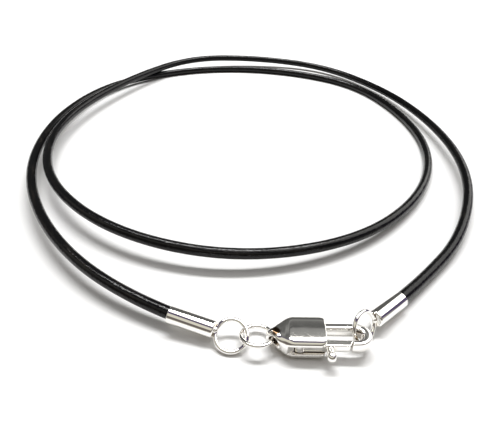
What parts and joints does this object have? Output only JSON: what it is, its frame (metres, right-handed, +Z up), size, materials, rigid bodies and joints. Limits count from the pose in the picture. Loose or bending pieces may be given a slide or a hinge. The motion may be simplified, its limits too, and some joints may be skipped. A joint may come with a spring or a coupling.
{
  "type": "leather cord necklace",
  "caption": "Round black leather cord necklace laid in a double loop, with silver end caps, soldered loops, a jump ring and a sprung lobster clasp.",
  "frame": {"origin": "on the surface that the necklace lies on, under its clasp, within half a millimetre of the middle of its metal pieces", "axes": "+X along the clasp from its tail eye to its hook, +Y from the clasp towards the loops of cord behind it, +Z up"},
  "size_m": [0.0775, 0.0988, 0.0038],
  "materials": {
    "black_leather": "greased, fine grain, glossy",
    "silver_caps": "polished silver",
    "silver_ring": "polished silver",
    "silver_clasp": "polished silver, cast"
  },
  "bodies": {
    "necklace": {"leather_cord": "black_leather", "end_cap_left": "silver_caps", "end_cap_right": "silver_caps", "jump_ring": "silver_ring", "clasp_body": "silver_clasp"},
    "lever": {"clasp_lever": "silver_clasp"}
  },
  "joints": [
    {"name": "lever_hinge", "type": "hinge", "parent": "necklace", "child": "lever", "pos_m": [0.00074, -0.0032, 0.00145], "axis": [-0.0332, 0, 0.9995], "range_deg": [0, 12], "stiffness_Nm_per_rad": 0.01, "springref_deg": -5.73}
  ]
}
